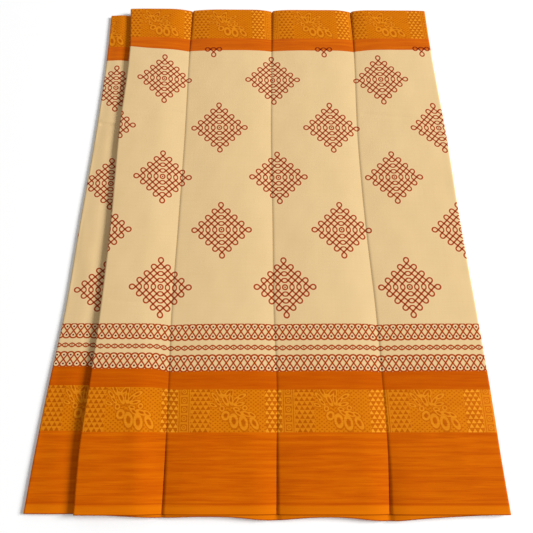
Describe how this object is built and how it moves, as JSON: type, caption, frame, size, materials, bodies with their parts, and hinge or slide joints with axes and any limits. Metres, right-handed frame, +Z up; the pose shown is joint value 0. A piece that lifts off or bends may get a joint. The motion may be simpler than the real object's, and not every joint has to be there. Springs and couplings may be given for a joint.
{
  "type": "cotton saree",
  "caption": "Cotton saree folded to a flat stack and opened to four pleats, cream with printed kolam diamonds and orange woven borders.",
  "frame": {"origin": "on the table, under the middle of the folded stack's box", "axes": "+X to the right across the pleats, +Y away from the viewer towards the far selvedge, +Z up from the table"},
  "size_m": [0.849, 1.115, 0.0185],
  "materials": {
    "face_cloth": "matte plain weave, starched",
    "border_cloth": "slightly lustrous plain weave",
    "inner_cloth": "matte plain weave"
  },
  "bodies": {
    "root": {"pleat_1": "face_cloth", "pleat_2": "face_cloth", "pleat_3": "face_cloth", "pleat_4": "face_cloth", "under_pleat": "face_cloth", "under_hem": "border_cloth", "folded_layers": "inner_cloth"}
  },
  "joints": []
}
